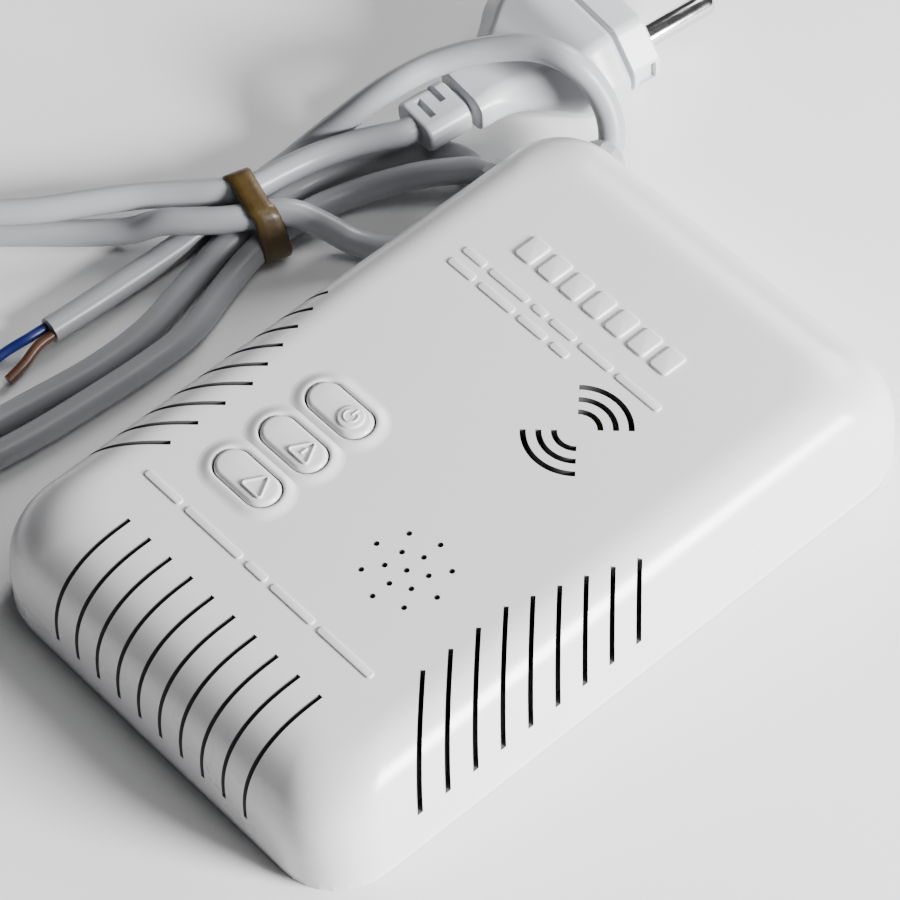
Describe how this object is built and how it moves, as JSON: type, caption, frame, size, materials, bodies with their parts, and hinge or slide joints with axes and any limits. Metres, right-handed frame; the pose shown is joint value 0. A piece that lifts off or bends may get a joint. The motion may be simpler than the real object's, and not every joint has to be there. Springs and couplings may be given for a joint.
{
  "type": "mains gas alarm",
  "caption": "Mains-powered wall gas alarm: rounded white case with vent slits, sounder holes and sprung keys, a board inside, a tied mains lead with plug and an output lead.",
  "frame": {"origin": "middle of the case's back face, which lies on the surface", "axes": "+Z out of the front face, +Y towards the end the leads leave by, +X to the right when the front is seen with +Y up"},
  "size_m": [0.2012, 0.2429, 0.029],
  "materials": {
    "case_white": "satin white moulded ABS",
    "plate_white": "white moulded ABS",
    "screw_steel": "zinc-plated steel",
    "key_white": "satin white moulded ABS",
    "switch_black": "moulded black",
    "lamp_green": "tinted clear resin",
    "lamp_red": "tinted clear resin",
    "lamp_yellow": "tinted clear resin",
    "board_green": "solder mask over glass fibre",
    "core_steel": "laminated silicon steel",
    "coil_tape": "yellow insulating tape",
    "sensor_black": "moulded black",
    "sensor_mesh": "stainless can and gauze",
    "sounder_black": "moulded black",
    "relay_blue": "moulded blue",
    "terminal_green": "moulded green",
    "clip_tinned": "tinned brass clips on a strip",
    "fuse_glass": "clear glass tube",
    "varistor_blue": "dipped resin",
    "chip_black": "moulded black epoxy",
    "can_black": "sleeved aluminium can",
    "gland_grey": "soft grey PVC",
    "cord_grey": "grey PVC jacket, slight sheen",
    "core_blue": "blue PVC insulation",
    "core_brown": "brown PVC insulation",
    "tie_brown": "olive-brown rubber band",
    "plug_grey": "light grey moulded PVC",
    "plug_face_grey": "light grey hard insert",
    "pin_metal": "nickel-plated brass"
  },
  "bodies": {
    "housing": {"front_cover": "case_white", "back_plate": "plate_white", "cover_screw_1": "screw_steel", "cover_screw_2": "screw_steel", "cover_screw_3": "screw_steel", "cover_screw_4": "screw_steel", "board_screw_1": "screw_steel", "board_screw_2": "screw_steel", "board_screw_3": "screw_steel", "board_screw_4": "screw_steel", "switch_power": "switch_black", "switch_alarm": "switch_black", "switch_fault": "switch_black", "lamp_power": "lamp_green", "lamp_alarm": "lamp_red", "lamp_fault": "lamp_yellow", "circuit_board": "board_green", "transformer_core": "core_steel", "transformer_coil": "coil_tape", "gas_sensor_base": "sensor_black", "gas_sensor_mesh": "sensor_mesh", "sounder": "sounder_black", "relay": "relay_blue", "terminal_block": "terminal_green", "fuse_holder": "clip_tinned", "fuse": "fuse_glass", "varistor": "varistor_blue", "controller_chip": "chip_black", "regulator": "chip_black", "capacitor_1": "can_black", "capacitor_2": "can_black", "capacitor_3": "can_black", "valve_gland": "gland_grey", "mains_gland": "gland_grey", "valve_lead": "cord_grey", "mains_lead": "cord_grey", "valve_core_1": "core_blue", "valve_core_2": "core_brown", "cord_tie": "tie_brown", "plug_sleeve": "plug_grey", "plug_body": "plug_grey", "plug_face": "plug_face_grey", "plug_pin_1": "pin_metal", "plug_pin_2": "pin_metal"},
    "power_button": {"key_power": "key_white", "plunger_power": "switch_black"},
    "alarm_button": {"key_alarm": "key_white", "plunger_alarm": "switch_black"},
    "fault_button": {"key_fault": "key_white", "plunger_fault": "switch_black"}
  },
  "joints": [
    {"name": "power_press", "type": "slide", "parent": "housing", "child": "power_button", "axis": [0, 0, 1], "range_m": [-0.0008, 0], "stiffness_N_per_m": 200},
    {"name": "alarm_press", "type": "slide", "parent": "housing", "child": "alarm_button", "axis": [0, 0, 1], "range_m": [-0.0008, 0], "stiffness_N_per_m": 200},
    {"name": "fault_press", "type": "slide", "parent": "housing", "child": "fault_button", "axis": [0, 0, 1], "range_m": [-0.0008, 0], "stiffness_N_per_m": 200}
  ]
}
